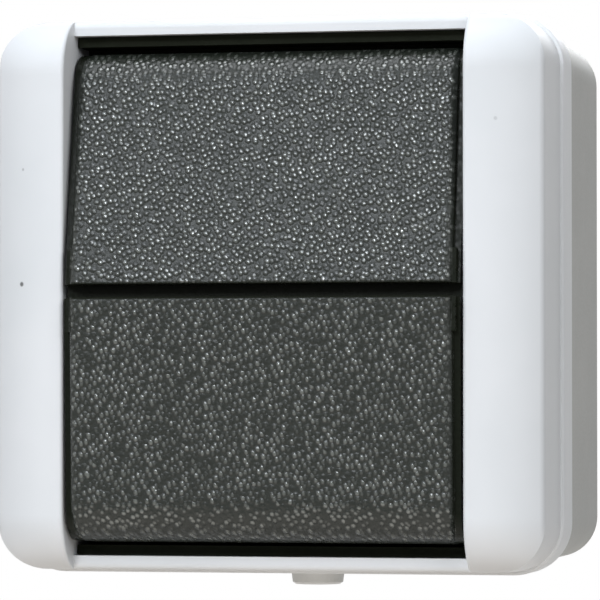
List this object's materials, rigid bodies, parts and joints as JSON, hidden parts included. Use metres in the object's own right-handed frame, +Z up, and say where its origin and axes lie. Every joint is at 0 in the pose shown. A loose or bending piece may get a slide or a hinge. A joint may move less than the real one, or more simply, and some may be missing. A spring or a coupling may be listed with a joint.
{
  "type": "outdoor weatherproof switch",
  "caption": "Surface-mounted weatherproof rocker switch with a light grey hinge-pillar hood, a dark grained rocker, a box with a cable entry and a snap-action insert inside",
  "frame": {"origin": "centre of the back face of the box, on the wall", "axes": "+X to the right seen from the front, +Y into the wall, +Z up; the rocker faces -Y"},
  "size_m": [0.0754, 0.0538, 0.0766],
  "materials": {
    "box_grey": "light grey moulded thermoplastic, fine matt texture",
    "hood_grey": "light grey moulded thermoplastic, satin",
    "nipple_grey": "light grey soft thermoplastic elastomer",
    "black_rubber": "black EPDM rubber, matt",
    "screw_steel": "zinc-plated steel",
    "insert_white": "white thermoset moulding, matt",
    "terminal_brass": "stamped brass",
    "contact_silver": "silver alloy, polished by wear",
    "rocker_grey": "dark grey moulded thermoplastic with a pebbled grain",
    "toggle_white": "natural polyamide",
    "spring_steel": "spring steel wire"
  },
  "bodies": {
    "housing": {"base_box": "box_grey", "hood": "hood_grey", "cable_nipple": "nipple_grey", "hood_gasket": "black_rubber", "rocker_seal": "black_rubber", "screw_washers": "black_rubber", "hood_screws": "screw_steel", "insert_screws": "screw_steel", "terminal_screws": "screw_steel", "insert_body": "insert_white", "insert_cover": "insert_white", "common_terminal": "terminal_brass", "upper_terminal": "terminal_brass", "lower_terminal": "terminal_brass", "fixed_contacts": "contact_silver"},
    "rocker": {"rocker": "rocker_grey"},
    "toggle": {"toggle": "toggle_white", "plunger_spring": "spring_steel"},
    "plunger": {"plunger": "toggle_white"},
    "contact_lever": {"contact_lever": "terminal_brass", "moving_contacts": "contact_silver"}
  },
  "joints": [
    {"name": "rocker_tilt", "type": "hinge", "parent": "housing", "child": "rocker", "pos_m": [0, -0.0475, 0], "axis": [1, 0, 0], "range_deg": [0, 8.1]},
    {"name": "toggle_tilt", "type": "hinge", "parent": "housing", "child": "toggle", "pos_m": [0, -0.033, 0], "axis": [1, 0, 0], "range_deg": [-15.39, 0]},
    {"name": "contact_tilt", "type": "hinge", "parent": "housing", "child": "contact_lever", "pos_m": [0, -0.01993, 0], "axis": [1, 0, 0], "range_deg": [0, 11.99]},
    {"name": "plunger_slide", "type": "slide", "parent": "toggle", "child": "plunger", "axis": [0, -0.991, -0.1339], "range_m": [0, 0.0006], "stiffness_N_per_m": 300, "springref_m": -0.003, "deforming": ["plunger_spring"]}
  ],
  "couplings": [
    {"joint": "toggle_tilt", "follows": "rocker_tilt", "ratio": -1.9},
    {"joint": "contact_tilt", "follows": "rocker_tilt", "ratio": 1.48}
  ]
}
